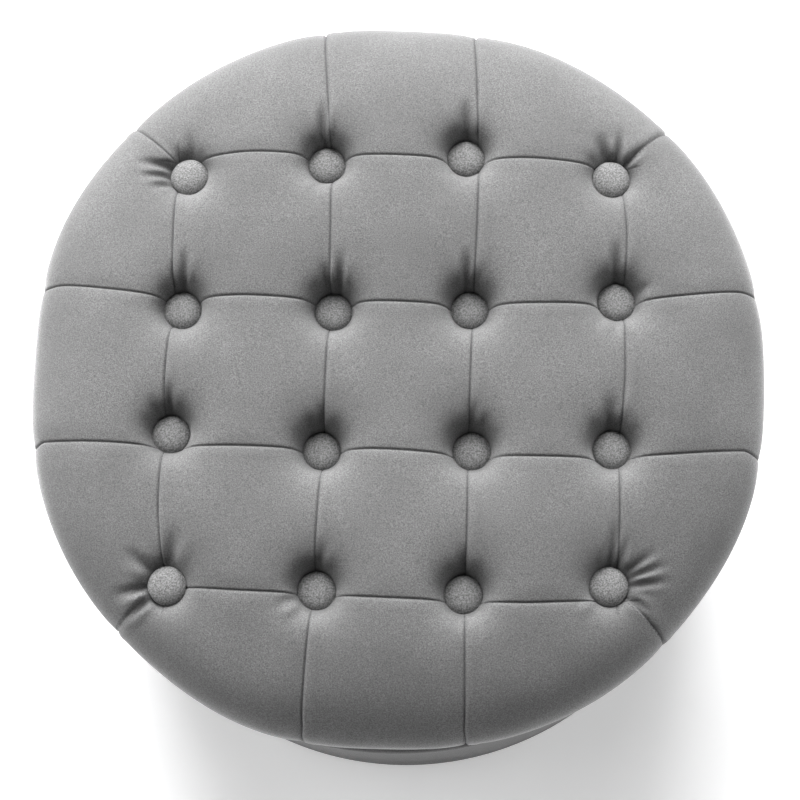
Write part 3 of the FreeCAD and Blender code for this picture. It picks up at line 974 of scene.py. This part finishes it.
def faceOutwards(bm):
    # an open shell has no inside of its own, so its widest faces decide
    reach = {f: f.calc_center_median().xy for f in bm.faces}
    widest = max(place.length for place in reach.values()) - 10 * mm
    if sum(f.normal.xy.dot(place) for f, place in reach.items() if place.length > widest) < 0:
        bmesh.ops.reverse_faces(bm, faces=bm.faces)


def makeDrumCover():
    low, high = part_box("drum_cover")
    low, high, outer = low[2] / mm, high[2] / mm, high[0] / mm
    rim, foot = drumLook["rim"], drumLook["foot"]
    rings = drumLook["wallRings"]
    outline = [(reach, low) for reach in drumLook["hemRings"]]
    outline += roundCorner(outer - foot, low + foot, foot, -90, 0, 4)
    outline += [(outer, low + foot + (high - rim - low - foot) * i / rings) for i in range(1, rings)]
    outline += roundCorner(outer - rim, high - rim, rim, 0, 90, 7)
    outline += [(reach, high) for reach in drumLook["rimRings"]]
    mouth, fold = drumLook["mouth"], drumLook["mouthRound"]
    outline += roundCorner(mouth + fold, high - fold, fold, 90, 180, 3)
    outline += [(mouth, level) for level in drumLook["turnInRings"]]
    bm = spunSkin(outline, drumLook["steps"])
    faceOutwards(bm)
    points = np.array([v.co[:] for v in bm.verts]) / mm
    reach = np.hypot(points[:, 0], points[:, 1])
    angle = np.arctan2(points[:, 1], points[:, 0])
    # columns of the mesh crowd in round the back seam
    seam = math.radians(drumLook["seamAt"])
    off = (angle - seam + math.pi) % (2 * math.pi) - math.pi
    most, near, far = drumLook["gather"]
    gathered = most * (1 - np.exp(-np.abs(off) / near)) * np.exp(-np.abs(off) / far)
    squeeze = np.sign(off) * (np.abs(off) - gathered)
    angle = seam + squeeze
    away = np.abs(squeeze) * reach
    outside = reach > drumLook["outside"]
    wall = steps(points[:, 2], *drumLook["wallStart"]) \
        * (1 - steps(points[:, 2], *drumLook["wallEnd"])) * outside
    soft = drumLook["soft"] * (np.sin(5 * angle + 0.6) + 0.6 * np.sin(11 * angle + points[:, 2] / 37)
                               + 0.5 * np.sin(points[:, 2] / 24 + 3 * angle))
    # the seam's edge draws the cloth in, and its allowance stands up beside it
    groove = drumLook["seamDepth"] * np.exp(-(away / drumLook["seamWidth"]) ** 2) * outside
    beside = off * reach
    allowance = drumLook["allowance"] * steps(beside, 0.8, 2.4) * (1 - steps(beside, 7, 10)) * outside
    reach = reach + (soft - drumLook["slack"]) * wall - groove + allowance * wall
    for vert, r, t, z in zip(bm.verts, reach, angle, points[:, 2]):
        vert.co = Vector((r * math.cos(t), r * math.sin(t), z)) * mm
    # the drum wears the darker velvet, which is painted shade
    piece = newPiece("drum_velvet", bm, [drumVelvetPaintedShade])
    thicken(piece, drumLook["cloth"])
    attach(piece, "drum")
    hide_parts("drum_cover")
    return piece


paddingLook = {
    "steps": 140, "inner": 209.4, "footRound": 1.8, "rimRound": 5.8,
    "wall": (3, 7), "pressedWall": (6, 8), "outside": 214,    # margins at foot and rim, and least radius
    "pressed": 1.3, "soft": 0.35,    # how far the stretched cover presses it in, and how unevenly
}


def makeDrumPadding():
    low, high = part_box("drum_padding")
    low, high, outer = low[2] / mm, high[2] / mm, high[0] / mm
    inner, foot, rim = paddingLook["inner"], paddingLook["footRound"], paddingLook["rimRound"]
    outline = [(inner, low)] + roundCorner(outer - foot, low + foot, foot, -90, 0, 3)
    start, end = low + paddingLook["wall"][0], high - paddingLook["wall"][1]
    outline += [(outer, start + (end - start) * i / 24) for i in range(25)]
    outline += roundCorner(outer - rim, high - rim, rim, 0, 90, 4) + [(inner, high)]
    outline += [(inner, high - (high - low) * i / 12) for i in range(1, 13)]
    bm = spunSkin(outline, paddingLook["steps"])
    atFoot, atRim = paddingLook["pressedWall"]
    for vert in bm.verts:
        reach = vert.co.xy.length / mm
        if reach > paddingLook["outside"] and low + atFoot < vert.co.z / mm < high - atRim:
            angle = math.atan2(vert.co.y, vert.co.x)
            change = paddingLook["soft"] * math.sin(5 * angle + 0.6) - paddingLook["pressed"]
            vert.co.x *= (reach + change) / reach
            vert.co.y *= (reach + change) / reach
    piece = newPiece("drum_foam_sheet", bm, [finishes["padding_foam"]])
    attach(piece, "drum")
    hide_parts("drum_padding")
    return piece


drumPad = makeDrumPadding()
drumSkin = makeDrumCover()
print("drum upholstered")


# ripples: how many round the well, how fast they turn with height, where they are widest and their reach
liningLook = {"cloth": 0.55, "ripple": 0.28, "steps": 170, "ripples": (17, 60, 160, 190)}
flatLook = {"cloth": 0.5, "steps": 120, "ripple": 0.24, "plateCorner": 0.9}


def makeLiner():
    low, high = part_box("liner_wall")
    outer = high[0] / mm - 0.05
    low, high = low[2] / mm + 0.1, high[2] / mm
    outline = [(outer, low + (high - low) * i / 34) for i in range(35)]
    bm = spunSkin(outline, liningLook["steps"])
    count, turn, widest, fade = liningLook["ripples"]
    for vert in bm.verts:
        angle = math.atan2(vert.co.y, vert.co.x)
        z = vert.co.z / mm
        loose = liningLook["ripple"] * (1 + math.sin(count * angle + z / turn)) * (1 - abs(z - widest) / fade)
        scale = (outer - max(0, loose)) / outer
        vert.co.x *= scale
        vert.co.y *= scale
    faceOutwards(bm)
    piece = newPiece("storage_lining", bm, [finishes["lining"]])
    thicken(piece, liningLook["cloth"])
    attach(piece, "drum")
    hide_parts("liner_wall")


def hangingDisc(name, outline, body, node, slot):
    # a round sheet stapled under a board, its good side down
    bm = spunSkin(outline, flatLook["steps"])
    if sum(f.normal.z for f in bm.faces) > 0:
        bmesh.ops.reverse_faces(bm, faces=bm.faces)
    for vert in bm.verts:
        angle = math.atan2(vert.co.y, vert.co.x)
        away = min(1, vert.co.xy.length / 0.2)
        vert.co.z -= flatLook["ripple"] * mm * math.sin(6 * angle + away * 9) * away * (1 - away)
    piece = newPiece(name, bm, [finishes[slot]])
    thicken(piece, flatLook["cloth"])
    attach(piece, body)
    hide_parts(node)
    return piece


def makePlateLining():
    low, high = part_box("plate_lining")
    low, high, outer = low[2] / mm, high[2] / mm, high[0] / mm
    outline = [(0, low)] + [(outer * i / 22, low) for i in range(1, 22)]
    corner = flatLook["plateCorner"]
    outline += roundCorner(outer - corner, low + corner, corner, -90, 0, 3)
    outline += [(outer, low + 3), (outer, low + 6), (outer, high - 0.1)]
    piece = hangingDisc("plate_cloth", outline, "lid", "plate_lining", "lining")


def makeDustCover():
    low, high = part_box("dust_cover")
    low, outer = low[2] / mm, high[0] / mm
    outline = [(0, low + 0.02)] + [(outer * i / 26, low + 0.02) for i in range(1, 27)]
    piece = hangingDisc("base_dust_cloth", outline, "drum", "dust_cover", "dust_cloth")


makeLiner()
makePlateLining()
makeDustCover()
print("linings made")


for node, slot in slotOf.items():
    for materialSlot in frame["nodes"][node].material_slots:
        materialSlot.material = finishes[slot]
print("finishes on", len(slotOf), "nodes")
